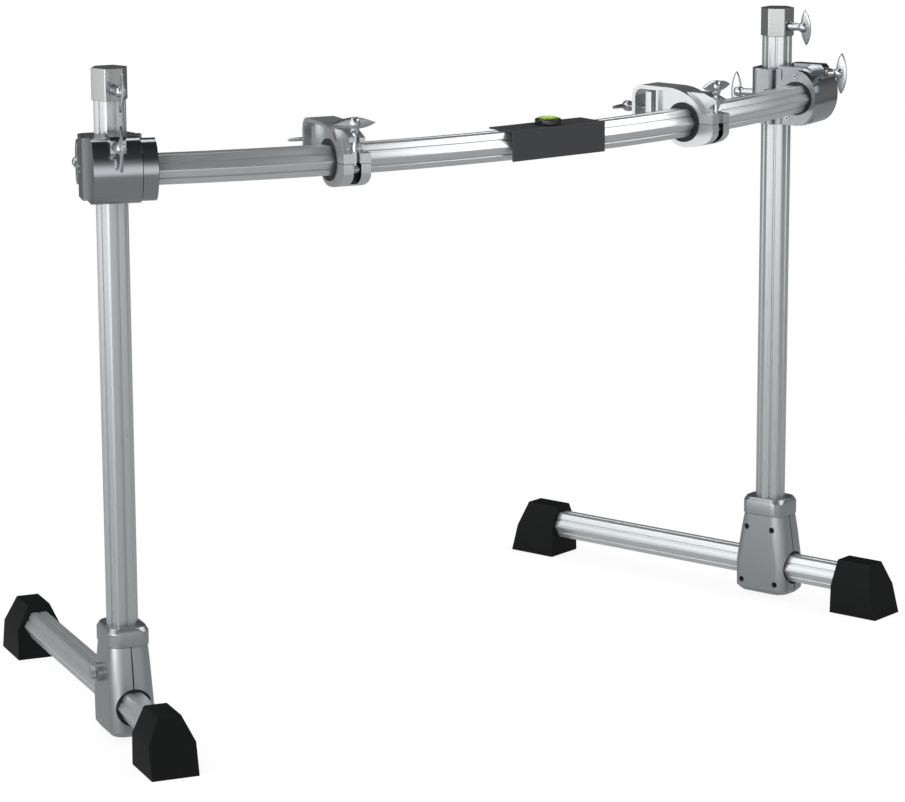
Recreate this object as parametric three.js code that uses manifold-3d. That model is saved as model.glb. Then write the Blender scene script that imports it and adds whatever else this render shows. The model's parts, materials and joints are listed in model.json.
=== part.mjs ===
// Drum rack frame: two splayed T-legs, a curved crossbar between them, two sliding accessory clamps.
// Millimetres, +Z up, +X along the crossbar, +Y towards the player. The floor is z = 0.
import * as THREE from 'three';
import { mergeVertices } from 'three/addons/utils/BufferGeometryUtils.js';
import { ConvexGeometry } from 'three/addons/geometries/ConvexGeometry.js';
import Module from 'manifold-3d';

const wasm = await Module();
wasm.setup();

const degrees = (value) => (value * Math.PI) / 180;

// Driving dimensions of the whole frame
const halfSpan = 511;
const splayAngle = degrees(14);
const uprightTop = 789;
const barDrop = 108;
const barHeight = uprightTop - barDrop;
const barBendRadius = 1248;
const barStraightEnd = 48;
const barOffset = 48;
const footBarHeight = 43;
const frontReach = 116;
const rearReach = 347;
const clampAngles = { left: degrees(-12.9), right: degrees(11.4) };

// Clearances
const seat = 0.3;
const running = 0.35;
const overrun = 5;

// Hexagonal tube, the same section everywhere
const tube = { reach: 19.5, round: 2, wall: 2.8 };
const liner = { radius: 21.5 };
const bore = liner.radius + seat;

// Screws and their wings
const screw = { radius: 3.5, slack: 1.6, backOff: 4.6, mating: 0.4 };
const wing = { span: 53, axial: 15, thick: 4.6, hub: 6.4, neck: 4.6, flare: 1.5, tipShare: 1.6 };
const pin = { radius: 2.5, fit: 0.1 };

// Leg parts
const cap = { wall: 2, top: 4, height: 37, boltDrop: 24, wingFrom: 37, wingSpan: 46, turn: degrees(5) };
const base = {
  bottom: 7, foot: 13, waist: 46, shoulder: 92, top: 114,
  bottomHalfX: 23, bottomHalfY: 36, waistHalfX: 27.5, waistHalfY: 41.5,
  shoulderHalfX: 26, shoulderHalfY: 35, topHalfX: 25, topHalfY: 31, round: 15,
};
const collar = { height: 23, lip: 1, bevel: 3 };
const baseScrew = { headRadius: 4, headDepth: 9, insetY: 15, low: 22, high: 96 };
const lock = { height: 80, bossRadius: 11, bossOut: 7, shank: 4, head: 8, headLength: 6 };
const foot = {
  length: 72, halfWidth: 29, ridgeHalfWidth: 14, height: 70, shoulder: 38,
  innerLean: 2, outerLean: 19, socket: 50,
};

// T-joint parts, drawn for the left leg: x towards the middle of the rack, y to the rear
const joint = {
  halfHeight: 38, sleeveTop: 34, front: 26, outerEnd: 31, innerEnd: 25, endWall: 4,
  sleeveOuter: 36, sleeveInner: 27, neckRear: 14, split: 2, jawRear: 26, jawRound: 11,
  boltHeight: 30, boltX: -2, bossHalf: 9, bossLow: 22, bossTop: 41, bossFront: 22, bossRear: 20, bossCut: 4,
  hingeDrop: 30.5, knuckle: 7.4, knuckleGap: 0.7,
  sideBoltX: -28.8, sideBoltZ: -6, sideThread: 14, frontThread: 20,
  hingeX: 28.6, hingeY: -4, sideKnuckle: 6.6, knuckleFloor: 7.6,
};
const jawKnuckle = { low: -13, high: 7 };
const ring = { start: 25.6, end: 43, front: 27, half: 36 };
const linerEnds = { outer: 26.4, inner: 44.4 };
const frontWingAt = 84 - barOffset;
const rearWingAt = 64;

// Accessory clamp parts: x along the bar, y to the rear
const grip = {
  halfWidth: 17, ring: 30, pad: 43, hookFront: 31, hookRear: 25, flange: 12,
  lugFront: 46, lugHalf: 10, lugWaist: 36, lugThick: 5, seatAngle: degrees(20), seatHeight: 33,
  boltY: -38, pivotZ: -7, pivotRadius: 5, eyeHalf: 4, trunnion: 2, trunnionHalf: 14, boltRadius: 3,
  boltTop: 50, slot: 0.6, hingeY: 29.5, knuckle: 5.5, knuckleHalf: 6.6, jawBottom: 31, jawFront: 11,
  rearReach: 81, rearWall: 5, roof: 41, roofWall: 5, rearLow: -5,
  nutBall: 5.6, nutAxial: 14, linerHalf: 18.5, screwZ: 10,
};
const shoe = { front: 56, thick: 7, halfWidth: 13, low: -3, high: 33, pad: 2.5 };
const shoeWingAt = 97;

// Badge bracket and spirit level on the middle of the bar
const badge = { length: 140, height: 36.5, plate: 2, frontReach: 22, rearReach: 25, gap: 0.3 };
const level = { radius: 15.8, height: 6.8, vial: 12.4, wallDepth: 1.6, vialWall: 5.6, dome: 2 };

// The end angle of the bar follows from the span, the bend and the straight ends
const bendArm = barBendRadius - barOffset;
const endAngle = Math.asin(halfSpan / Math.hypot(bendArm, barStraightEnd))
  - Math.atan2(barStraightEnd, bendArm);
const arcCentreY = -barOffset * Math.cos(endAngle) - barStraightEnd * Math.sin(endAngle)
  + barBendRadius * Math.cos(endAngle);
const flatShare = Math.cos(degrees(30));
const tubeFlat = (tube.reach - tube.round) * flatShare + tube.round;

// Shape helpers
const point2 = (x, y) => new THREE.Vector2(x, y);

function outline(points, holes = []) {
  const shape = new THREE.Shape(points.map(([x, y]) => point2(x, y)));
  for (const hole of holes) shape.holes.push(new THREE.Path(hole.map(([x, y]) => point2(x, y))));
  return shape;
}

function arcPoints(centreX, centreY, radiusX, radiusY, from, to, steps) {
  const points = [];
  for (let i = 0; i <= steps; i += 1) {
    const angle = from + ((to - from) * i) / steps;
    points.push([centreX + radiusX * Math.cos(angle), centreY + radiusY * Math.sin(angle)]);
  }
  return points;
}

function circlePoints(radius, steps = 28) {
  return arcPoints(0, 0, radius, radius, 0, degrees(360), steps).slice(0, -1);
}

function hexPoints(reach, round, phase) {
  const points = [];
  for (let corner = 0; corner < 6; corner += 1) {
    const angle = phase + degrees(60) * corner;
    const x = (reach - round) * Math.cos(angle);
    const y = (reach - round) * Math.sin(angle);
    if (round > 0) points.push(...arcPoints(x, y, round, round, angle - degrees(30), angle + degrees(30), 2));
    else points.push([x, y]);
  }
  return points;
}

// Corners sideways and flats above and below, in the drawing of each section
const cornersLevel = 0;
const cornersUpright = degrees(30);

function boxPoints(x0, x1, y0, y1) {
  return [[x0, y0], [x1, y0], [x1, y1], [x0, y1]];
}

function roundBoxPoints(halfX, halfY, round, steps) {
  const points = [];
  const corners = [[1, 1], [-1, 1], [-1, -1], [1, -1]];
  corners.forEach(([sx, sy], index) => {
    const from = degrees(90) * index;
    const centre = [sx * (halfX - round), sy * (halfY - round)];
    points.push(...arcPoints(...centre, round, round, from, from + degrees(90), steps));
  });
  return points;
}

// Solids: extrusions along each axis, rods between two points, lofts through level rings
function toSolid(geometry) {
  const bare = new THREE.BufferGeometry();
  bare.setAttribute('position', geometry.getAttribute('position').clone());
  if (geometry.index) bare.setIndex(geometry.index.clone());
  const merged = mergeVertices(bare);
  return new wasm.Manifold(new wasm.Mesh({
    numProp: 3,
    vertProperties: new Float32Array(merged.getAttribute('position').array),
    triVerts: new Uint32Array(merged.index.array),
  }));
}

function fromSolid(solid) {
  const data = solid.getMesh();
  const geometry = new THREE.BufferGeometry();
  geometry.setAttribute('position', new THREE.BufferAttribute(new Float32Array(data.vertProperties), 3));
  geometry.setIndex(new THREE.BufferAttribute(new Uint32Array(data.triVerts), 1));
  geometry.computeVertexNormals();
  return geometry;
}

function extruded(shape, depth) {
  return new THREE.ExtrudeGeometry(shape, { depth, bevelEnabled: false, steps: 1 });
}

function alongZ(shape, z0, z1) {
  const geometry = extruded(shape, z1 - z0);
  geometry.translate(0, 0, z0);
  return toSolid(geometry);
}

function alongY(shape, y0, y1) {
  const geometry = extruded(shape, y1 - y0);
  geometry.rotateX(degrees(90));
  geometry.translate(0, y1, 0);
  return toSolid(geometry);
}

function alongX(shape, x0, x1) {
  const geometry = extruded(shape, x1 - x0);
  const turn = new THREE.Matrix4().makeBasis(
    new THREE.Vector3(0, 1, 0), new THREE.Vector3(0, 0, 1), new THREE.Vector3(1, 0, 0),
  );
  geometry.applyMatrix4(turn);
  geometry.translate(x0, 0, 0);
  return toSolid(geometry);
}

function rod(from, to, startRadius, endRadius = startRadius, sides = 14) {
  const start = new THREE.Vector3(...from);
  const span = new THREE.Vector3(...to).sub(start);
  const geometry = new THREE.CylinderGeometry(endRadius, startRadius, span.length(), sides);
  geometry.translate(0, span.length() / 2, 0);
  const up = new THREE.Vector3(0, 1, 0);
  geometry.applyQuaternion(new THREE.Quaternion().setFromUnitVectors(up, span.clone().normalize()));
  geometry.translate(start.x, start.y, start.z);
  return toSolid(geometry);
}

function loft(rings) {
  const count = rings[0].points.length;
  const positions = [];
  const faces = [];
  rings.forEach(({ points, z }) => points.forEach(([x, y]) => positions.push(x, y, z)));
  for (let row = 0; row + 1 < rings.length; row += 1) {
    for (let i = 0; i < count; i += 1) {
      const next = (i + 1) % count;
      const a = row * count + i;
      const b = row * count + next;
      faces.push(a, b, b + count, a, b + count, a + count);
    }
  }
  const low = positions.length / 3;
  positions.push(0, 0, rings[0].z);
  positions.push(0, 0, rings[rings.length - 1].z);
  const topRow = (rings.length - 1) * count;
  for (let i = 0; i < count; i += 1) {
    const next = (i + 1) % count;
    faces.push(low, next, i);
    faces.push(low + 1, topRow + i, topRow + next);
  }
  const geometry = new THREE.BufferGeometry();
  geometry.setAttribute('position', new THREE.Float32BufferAttribute(positions, 3));
  geometry.setIndex(faces);
  return toSolid(geometry);
}

function mirrored(geometry) {
  const copy = geometry.clone();
  copy.scale(-1, 1, 1);
  const index = copy.index.array;
  for (let i = 0; i < index.length; i += 3) {
    const swap = index[i];
    index[i] = index[i + 1];
    index[i + 1] = swap;
  }
  copy.computeVertexNormals();
  return copy;
}

function aimed(solid, axis, blade, origin) {
  const geometry = fromSolid(solid);
  const across = new THREE.Vector3().crossVectors(axis, blade);
  geometry.applyMatrix4(new THREE.Matrix4().makeBasis(blade, across, axis));
  geometry.translate(...origin);
  return toSolid(geometry);
}

const direction = {
  x: new THREE.Vector3(1, 0, 0),
  y: new THREE.Vector3(0, 1, 0),
  z: new THREE.Vector3(0, 0, 1),
};
const front = direction.y.clone().negate();

// Materials
function finish(color, roughness, metalness) {
  return new THREE.MeshStandardMaterial({ color, roughness, metalness });
}

const anodised = finish(0xb9bcbe, 0.34, 0.9);
const castSatin = finish(0x8f9193, 0.38, 0.9);
const castBright = finish(0xb4b6b8, 0.24, 1);
const steel = finish(0xa9abad, 0.28, 1);
const nylon = finish(0x17181a, 0.5, 0);
const rubber = finish(0x232427, 0.75, 0);
const powderBlack = finish(0x26272a, 0.55, 0.2);
const liquid = finish(0x9acb3c, 0.12, 0);

// Wing screws run along +Z from their threaded end, with the blades along X
function wingBlade(axial, span) {
  const steps = 20;
  const points = [];
  for (let i = 0; i < steps; i += 1) {
    const angle = (degrees(360) * i) / steps;
    const rise = Math.sign(Math.sin(angle)) * Math.abs(Math.sin(angle)) ** wing.tipShare;
    points.push([(span / 2) * Math.cos(angle), (axial / 2) * (1 + rise)]);
  }
  return alongY(outline(points), -wing.thick / 2, wing.thick / 2);
}

function wingScrew(threadLength, gapLength, neckLength, span = wing.span) {
  const neckFrom = threadLength + gapLength;
  const wingFrom = neckFrom + neckLength;
  const shank = rod([0, 0, 0], [0, 0, neckFrom + overrun], screw.radius);
  const neck = rod([0, 0, neckFrom], [0, 0, wingFrom + overrun], wing.neck + wing.flare, wing.neck);
  const hub = rod([0, 0, wingFrom - wing.flare], [0, 0, wingFrom + wing.axial / 2], wing.hub);
  const blades = wingBlade(wing.axial, span).translate([0, 0, wingFrom]);
  return shank.add(neck).add(hub).add(blades);
}

// Crossbar: straight ends running into the T-joints, and one even bend between them
class BarLine extends THREE.Curve {
  constructor(arcHalf, straight) {
    super();
    this.arcHalf = arcHalf;
    this.half = arcHalf + straight;
  }

  getPoint(t, target = new THREE.Vector3()) {
    const along = (2 * t - 1) * this.half;
    const onArc = Math.max(-this.arcHalf, Math.min(this.arcHalf, along));
    const angle = onArc / barBendRadius;
    const rest = along - onArc;
    return target.set(
      barBendRadius * Math.sin(angle) + rest * Math.cos(angle),
      arcCentreY - barBendRadius * Math.cos(angle) + rest * Math.sin(angle),
      0,
    );
  }
}

function crossbar() {
  const barEnd = joint.outerEnd - joint.endWall - seat;
  const line = new BarLine(barBendRadius * endAngle, barStraightEnd + barEnd);
  const shape = outline(
    hexPoints(tube.reach, tube.round, cornersUpright),
    [hexPoints(tube.reach - tube.wall, 0, cornersUpright)],
  );
  return toSolid(new THREE.ExtrudeGeometry(shape, { extrudePath: line, steps: 26 }));
}

function badgeBracket() {
  const roof = tubeFlat + badge.gap;
  const face = -badge.frontReach;
  const points = [
    [face, roof + badge.plate - badge.height], [face + badge.plate, roof + badge.plate - badge.height],
    [face + badge.plate, roof], [badge.rearReach, roof],
    [badge.rearReach, roof + badge.plate], [face, roof + badge.plate],
  ];
  return alongX(outline(points), -badge.length / 2, badge.length / 2);
}

function levelRing() {
  const floor = tubeFlat + badge.gap + badge.plate + seat;
  const cup = alongZ(outline(circlePoints(level.radius)), floor, floor + level.height);
  const room = outline(circlePoints(level.vial + seat));
  const hollow = alongZ(room, floor + level.wallDepth, floor + level.height + overrun);
  return cup.subtract(hollow);
}

function levelVial() {
  const floor = tubeFlat + badge.gap + badge.plate + seat + level.wallDepth + seat;
  const rings = [{ points: circlePoints(level.vial), z: floor }];
  const steps = 4;
  for (let i = 0; i < steps; i += 1) {
    const angle = (degrees(90) * i) / steps;
    const radius = level.vial * Math.cos(angle);
    const rise = level.vialWall + level.dome * Math.sin(angle);
    rings.push({ points: circlePoints(radius), z: floor + rise });
  }
  return loft(rings);
}

// Leg
const capTopZ = uprightTop + cap.top;
const capBottomZ = capTopZ - cap.height;
const uprightFoot = footBarHeight + tubeFlat + seat;

function upright() {
  const shape = outline(
    hexPoints(tube.reach, tube.round, cornersLevel),
    [hexPoints(tube.reach - tube.wall, 0, cornersLevel)],
  );
  return alongZ(shape, uprightFoot, uprightTop - seat);
}

const capBoltZ = capTopZ - cap.boltDrop;

function topCap() {
  const outer = alongZ(
    outline(hexPoints(tube.reach + cap.wall, tube.round, cornersLevel)), capBottomZ, capTopZ,
  );
  const inner = alongZ(
    outline(hexPoints(tube.reach + seat, tube.round, cornersLevel)), capBottomZ - overrun, uprightTop,
  );
  const hole = rod([0, -tube.reach - overrun, capBoltZ], [0, 0, capBoltZ], screw.radius + running);
  return outer.subtract(inner).subtract(hole);
}

function capWingBolt() {
  const start = tubeFlat + seat;
  const solid = wingScrew(cap.wall, running, cap.wingFrom - start - cap.wall - running, cap.wingSpan);
  const blade = direction.z.clone().applyAxisAngle(front, cap.turn);
  return aimed(solid, front, blade, [0, -start, capBoltZ]);
}

function footBar() {
  const shape = outline(
    hexPoints(tube.reach, tube.round, cornersLevel),
    [hexPoints(tube.reach - tube.wall, 0, cornersLevel)],
  );
  const length = foot.socket - seat;
  return alongY(shape, -frontReach - length, rearReach + length).translate([0, 0, footBarHeight]);
}

function rubberFoot(sign, reach) {
  const inner = sign * reach;
  const outer = sign * (reach + foot.length);
  const corners = [];
  for (const side of [-1, 1]) {
    const wide = side * foot.halfWidth;
    const narrow = side * foot.ridgeHalfWidth;
    for (const [across, z] of [[wide, 0], [wide, foot.shoulder], [narrow, foot.height]]) {
      const lean = (sign * z) / foot.height;
      corners.push([across, inner + lean * foot.innerLean, z], [across, outer - lean * foot.outerLean, z]);
    }
  }
  const block = toSolid(new ConvexGeometry(corners.map((corner) => new THREE.Vector3(...corner))));
  const socket = outline(hexPoints(tube.reach + seat, tube.round, cornersLevel));
  const depth = sign > 0
    ? alongY(socket, inner - overrun, inner + foot.socket)
    : alongY(socket, inner - foot.socket, inner + overrun);
  return block.subtract(depth.translate([0, 0, footBarHeight]));
}

const baseRows = [
  { z: base.bottom, x: base.bottomHalfX, y: base.bottomHalfY },
  { z: base.foot, x: base.waistHalfX - seat, y: base.waistHalfY - seat },
  { z: base.waist, x: base.waistHalfX, y: base.waistHalfY },
  { z: base.shoulder, x: base.shoulderHalfX, y: base.shoulderHalfY },
  { z: base.top, x: base.topHalfX, y: base.topHalfY },
];

function baseShell(side) {
  const rings = baseRows.map((row) => ({ points: roundBoxPoints(row.x, row.y, base.round, 4), z: row.z }));
  const wide = base.waistHalfX + lock.bossOut + overrun;
  const deep = base.waistHalfY + overrun;
  let shell = loft(rings);
  if (side < 0) {
    const bossEnd = [side * (base.waistHalfX + lock.bossOut), 0, lock.height];
    shell = shell.add(rod([0, 0, lock.height], bossEnd, lock.bossRadius));
  }
  const edge = (side * seat) / 2;
  const half = side < 0 ? boxPoints(edge, wide, -deep, deep) : boxPoints(-wide, edge, -deep, deep);
  shell = shell.subtract(alongZ(outline(half), 0, base.top + overrun));
  const socket = outline(hexPoints(tube.reach + seat, tube.round, cornersLevel));
  shell = shell.subtract(alongZ(socket, footBarHeight, base.top + overrun));
  const tunnel = alongY(outline(hexPoints(tube.reach + seat, tube.round, cornersLevel)), -deep, deep);
  shell = shell.subtract(tunnel.translate([0, 0, footBarHeight]));
  if (side < 0) {
    shell = shell.subtract(rod([0, 0, lock.height], [-wide - overrun, 0, lock.height], lock.shank + running));
  } else {
    shell = shell.subtract(baseScrewHoles());
  }
  return shell;
}

function baseScrewHoles() {
  let holes = null;
  for (const [z, reachY] of [[baseScrew.low, base.waistHalfY], [baseScrew.high, base.shoulderHalfY]]) {
    for (const sign of [-1, 1]) {
      const y = sign * (reachY - baseScrew.insetY);
      const face = base.waistHalfX + overrun;
      const bottom = base.topHalfX - baseScrew.headDepth / 2;
      const head = rod([bottom, y, z], [face, y, z], baseScrew.headRadius);
      holes = holes ? holes.add(head) : head;
    }
  }
  return holes;
}

function baseCollar() {
  const low = base.top + seat;
  const high = base.top + collar.height;
  const size = [base.topHalfX + collar.lip, base.topHalfY + collar.lip, base.round];
  const small = [size[0] - collar.bevel, size[1] - collar.bevel, base.round];
  const body = loft([
    { points: roundBoxPoints(...size, 4), z: low },
    { points: roundBoxPoints(...size, 4), z: high - collar.bevel * 2 },
    { points: roundBoxPoints(...small, 4), z: high },
  ]);
  const socket = outline(hexPoints(tube.reach + seat, tube.round, cornersLevel));
  return body.subtract(alongZ(socket, low - overrun, high + overrun));
}

function baseLockBolt() {
  const face = base.waistHalfX + lock.bossOut;
  const start = tube.reach + seat * 2;
  const shank = rod([-start, 0, lock.height], [-face - overrun / 2, 0, lock.height], lock.shank);
  const headFrom = [-face - seat, 0, lock.height];
  const head = rod(headFrom, [-face - lock.headLength, 0, lock.height], lock.head, lock.head, 6);
  return shank.add(head);
}

// T-joint
const hexTurn = endAngle - splayAngle;
const hingeZ = -joint.hingeDrop;

function frontHingeKnuckle(low, high, grow) {
  const radius = joint.knuckle + grow;
  return rod([low, -barOffset, hingeZ], [high, -barOffset, hingeZ], radius, radius, 20);
}

function barBore() {
  const start = -joint.outerEnd + joint.endWall;
  const shape = outline(circlePoints(bore, 36));
  return alongX(shape, start, joint.innerEnd + overrun).translate([0, -barOffset, 0]);
}

function uprightBore() {
  return alongZ(outline(circlePoints(bore, 36)), -joint.halfHeight - overrun, joint.halfHeight + overrun);
}

function sideKnuckle(low, high, grow) {
  return rod(
    [joint.hingeX, joint.hingeY, low], [joint.hingeX, joint.hingeY, high],
    joint.sideKnuckle + grow, joint.sideKnuckle + grow, 20,
  );
}

function frontBoltHole(radius) {
  return rod(
    [joint.boltX, -barOffset - joint.front - overrun, joint.boltHeight],
    [joint.boltX, -barOffset + joint.frontThread, joint.boltHeight], radius,
  );
}

function sideBoltHole(radius, fromY, toY) {
  return rod([joint.sideBoltX, fromY, joint.sideBoltZ], [joint.sideBoltX, toY, joint.sideBoltZ], radius);
}

function jointBody() {
  const rearHalf = boxPoints(-barOffset + seat, -joint.neckRear, -joint.halfHeight, joint.halfHeight);
  let body = alongX(outline(rearHalf), -joint.outerEnd, joint.innerEnd);
  const sleeve = boxPoints(-joint.sleeveOuter, joint.sleeveInner, -joint.neckRear - overrun, joint.split);
  body = body.add(alongZ(outline(sleeve), -joint.halfHeight, joint.sleeveTop));
  const boss = boxPoints(-barOffset + seat, -barOffset + joint.bossRear, joint.bossLow, joint.bossTop);
  body = body.add(alongX(outline(boss), joint.boltX - joint.bossHalf, joint.boltX + joint.bossHalf));
  body = body.add(frontHingeKnuckle(-joint.outerEnd, joint.innerEnd, 0));
  body = body.add(sideKnuckle(-joint.halfHeight, joint.knuckleFloor, 0));
  const gap = joint.knuckleGap;
  body = body.subtract(frontHingeKnuckle(jawKnuckle.low - gap, jawKnuckle.high + gap, gap));
  body = body.subtract(sideKnuckle(joint.knuckleFloor, joint.sleeveTop + overrun, gap));
  const armRoom = boxPoints(
    joint.hingeX - joint.sideKnuckle - gap, joint.hingeX + overrun, joint.hingeY, joint.split + overrun,
  );
  body = body.subtract(alongZ(outline(armRoom), joint.knuckleFloor, joint.sleeveTop + overrun));
  body = body.subtract(barBore()).subtract(uprightBore());
  body = body.subtract(frontBoltHole(screw.radius + screw.mating));
  body = body.subtract(sideBoltHole(screw.radius + screw.mating, -joint.sideThread, joint.split + overrun));
  body = body.subtract(hingePinHole()).subtract(sidePinHole());
  return body;
}

function hingePinHole() {
  const from = [-joint.outerEnd - overrun, -barOffset, hingeZ];
  return rod(from, [joint.innerEnd + overrun, -barOffset, hingeZ], pin.radius + pin.fit);
}

function sidePinHole() {
  const reach = joint.halfHeight + overrun;
  return rod([joint.hingeX, joint.hingeY, -reach], [joint.hingeX, joint.hingeY, reach], pin.radius + pin.fit);
}

function barJaw() {
  const round = arcPoints(-barOffset, 0, joint.front, joint.halfHeight, degrees(90), degrees(270), 18);
  const rearY = -barOffset - seat;
  const face = round.map(([y, z]) => [Math.min(y, rearY), z]);
  let jaw = alongX(outline(face), -joint.outerEnd, joint.innerEnd);
  const bossFace = -barOffset - joint.bossFront;
  const boss = [
    [bossFace, joint.bossLow], [bossFace, joint.bossTop - joint.bossCut],
    [bossFace + joint.bossCut, joint.bossTop], [rearY, joint.bossTop], [rearY, joint.bossLow],
  ];
  jaw = jaw.add(alongX(outline(boss), joint.boltX - joint.bossHalf, joint.boltX + joint.bossHalf));
  jaw = jaw.add(frontHingeKnuckle(jawKnuckle.low, jawKnuckle.high, 0));
  jaw = jaw.subtract(frontHingeKnuckle(-joint.outerEnd - overrun, jawKnuckle.low, joint.knuckleGap));
  jaw = jaw.subtract(frontHingeKnuckle(jawKnuckle.high, joint.innerEnd + overrun, joint.knuckleGap));
  jaw = jaw.subtract(barBore()).subtract(frontBoltHole(screw.radius + screw.slack)).subtract(hingePinHole());
  return jaw;
}

function barJawPin() {
  return rod([-joint.outerEnd, -barOffset, hingeZ], [joint.innerEnd - seat, -barOffset, hingeZ], pin.radius);
}

function barWingBolt() {
  const start = joint.frontThread - running * 2;
  const thread = start + joint.bossFront;
  const solid = wingScrew(thread, screw.backOff, frontWingAt - joint.bossFront - screw.backOff);
  return aimed(solid, front, direction.z, [joint.boltX, -barOffset + start, joint.boltHeight]);
}

function barLiner() {
  const hole = hexPoints(tube.reach + running, tube.round, cornersLevel);
  const shape = outline(circlePoints(liner.radius, 36), [hole]);
  return alongX(shape, -linerEnds.outer, linerEnds.inner).translate([0, -barOffset, 0]);
}

function barCollar() {
  const points = arcPoints(0, 0, ring.front, ring.half, 0, degrees(360), 36).slice(0, -1);
  const shape = outline(points, [circlePoints(bore, 36)]);
  return alongX(shape, ring.start, ring.end).translate([0, -barOffset, 0]);
}

function uprightJaw() {
  const gap = joint.split + seat;
  const left = -joint.sleeveOuter;
  const right = joint.sleeveInner;
  const round = joint.jawRound;
  const rearCentre = joint.jawRear - round;
  const points = [
    [left, gap],
    [right, gap],
    ...arcPoints(right - round, rearCentre, round, round, 0, degrees(90), 4),
    ...arcPoints(left + round, rearCentre, round, round, degrees(90), degrees(180), 4),
  ];
  let jaw = alongZ(outline(points), -joint.halfHeight, joint.sleeveTop);
  const armHalf = joint.sideKnuckle;
  const arm = boxPoints(joint.hingeX - armHalf, joint.hingeX + armHalf, joint.hingeY, gap + overrun);
  const armLow = joint.knuckleFloor + joint.knuckleGap;
  jaw = jaw.add(alongZ(outline(arm), armLow, joint.sleeveTop));
  jaw = jaw.add(sideKnuckle(armLow, joint.sleeveTop, 0));
  jaw = jaw.subtract(sideKnuckle(-joint.halfHeight - overrun, armLow, joint.knuckleGap));
  const half = screw.radius + screw.slack;
  const slot = [
    [left - overrun, joint.sideBoltZ - half], [joint.sideBoltX, joint.sideBoltZ - half],
    ...arcPoints(joint.sideBoltX, joint.sideBoltZ, half, half, degrees(-60), degrees(60), 4),
    [joint.sideBoltX, joint.sideBoltZ + half], [left - overrun, joint.sideBoltZ + half],
  ];
  jaw = jaw.subtract(alongY(outline(slot), 0, joint.jawRear + overrun));
  return jaw.subtract(uprightBore()).subtract(sidePinHole());
}

function uprightJawPin() {
  const low = [joint.hingeX, joint.hingeY, -joint.halfHeight];
  const high = [joint.hingeX, joint.hingeY, joint.sleeveTop];
  return rod(low, high, pin.radius);
}

function uprightWingBolt() {
  const start = joint.sideThread - running * 2;
  const thread = start + joint.jawRear;
  const solid = wingScrew(thread, screw.backOff, rearWingAt - joint.jawRear - screw.backOff);
  return aimed(solid, direction.y, direction.z, [joint.sideBoltX, -start, joint.sideBoltZ]);
}

function uprightLiner() {
  const hole = hexPoints(tube.reach + running, tube.round, hexTurn);
  const shape = outline(circlePoints(liner.radius, 36), [hole]);
  return alongZ(shape, -joint.halfHeight, joint.sleeveTop);
}

// Accessory clamp
function gripKnuckle(low, high, grow) {
  return rod([low, grip.hingeY, 0], [high, grip.hingeY, 0], grip.knuckle + grow, grip.knuckle + grow, 18);
}

function gripBore() {
  const reach = grip.halfWidth + overrun;
  return alongX(outline(circlePoints(bore, 36)), -reach, reach);
}

function gripPinHole() {
  const reach = grip.halfWidth + overrun;
  return rod([-reach, grip.hingeY, 0], [reach, grip.hingeY, 0], pin.radius + pin.fit);
}

// The seat under the nut slopes down to the front, so the nut can swing clear while the jaw drops
const seatSlope = Math.tan(grip.seatAngle);
const seatAt = (y) => grip.seatHeight + (y - grip.boltY) * seatSlope;
const nutCentreZ = grip.seatHeight + (grip.nutBall + seat) / Math.cos(grip.seatAngle);

function clampArm() {
  const roofLow = grip.roof - grip.roofWall;
  const rearIn = grip.rearReach - grip.rearWall;
  const hookReach = grip.hookRear + grip.hookFront;
  const points = [
    ...arcPoints(grip.hookRear, seat, hookReach, grip.roof - seat, degrees(180), degrees(90), 12),
    ...arcPoints(
      rearIn - grip.rearWall * 2, grip.roof - grip.rearWall * 3,
      grip.rearWall * 3, grip.rearWall * 3, degrees(90), 0, 5,
    ),
    [grip.rearReach, grip.rearLow], [rearIn, grip.rearLow],
    ...arcPoints(
      rearIn - grip.rearWall * 2, roofLow - grip.rearWall * 2,
      grip.rearWall * 2, grip.rearWall * 2, 0, degrees(90), 4,
    ),
    [grip.pad, roofLow], [grip.pad, seat],
  ];
  const lugRear = grip.boltY + grip.nutBall * 2;
  const lugTop = seat + (grip.roof - seat) * Math.sqrt(1 - (grip.hookRear / hookReach) ** 2);
  const lugLow = seatAt(-grip.lugFront) - grip.lugThick;
  const waistZ = (grip.flange + lugLow) / 2;
  const lug = [
    [0, seat], [0, lugTop], [lugRear, seatAt(lugRear)], [-grip.lugFront, seatAt(-grip.lugFront)],
    ...arcPoints(
      -grip.lugFront, waistZ, grip.lugFront - grip.lugWaist, lugLow - waistZ,
      degrees(90), degrees(-90), 8,
    ),
    [-grip.lugFront, seat],
  ];
  let arm = alongX(outline(points), -grip.halfWidth, grip.halfWidth);
  arm = arm.add(alongX(outline(lug), -grip.lugHalf, grip.lugHalf));
  const flange = boxPoints(-grip.lugFront, 0, seat, grip.flange);
  arm = arm.add(alongX(outline(flange), -grip.halfWidth, grip.halfWidth));
  arm = arm.add(gripKnuckle(-grip.halfWidth, grip.halfWidth, 0));
  const knuckleRoom = grip.knuckleHalf + joint.knuckleGap;
  arm = arm.subtract(gripKnuckle(-knuckleRoom, knuckleRoom, joint.knuckleGap));
  arm = arm.subtract(gripBore()).subtract(gripPinHole());
  const slotHalf = grip.boltRadius + grip.slot;
  const slot = boxPoints(-slotHalf, slotHalf, -grip.lugFront - overrun, grip.boltY + slotHalf);
  arm = arm.subtract(alongZ(outline(slot), 0, grip.roof + overrun));
  const holeFrom = [0, grip.rearReach - grip.rearWall * 2, grip.screwZ];
  const holeTo = [0, grip.rearReach + overrun, grip.screwZ];
  return arm.subtract(rod(holeFrom, holeTo, screw.radius + screw.mating));
}

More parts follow.
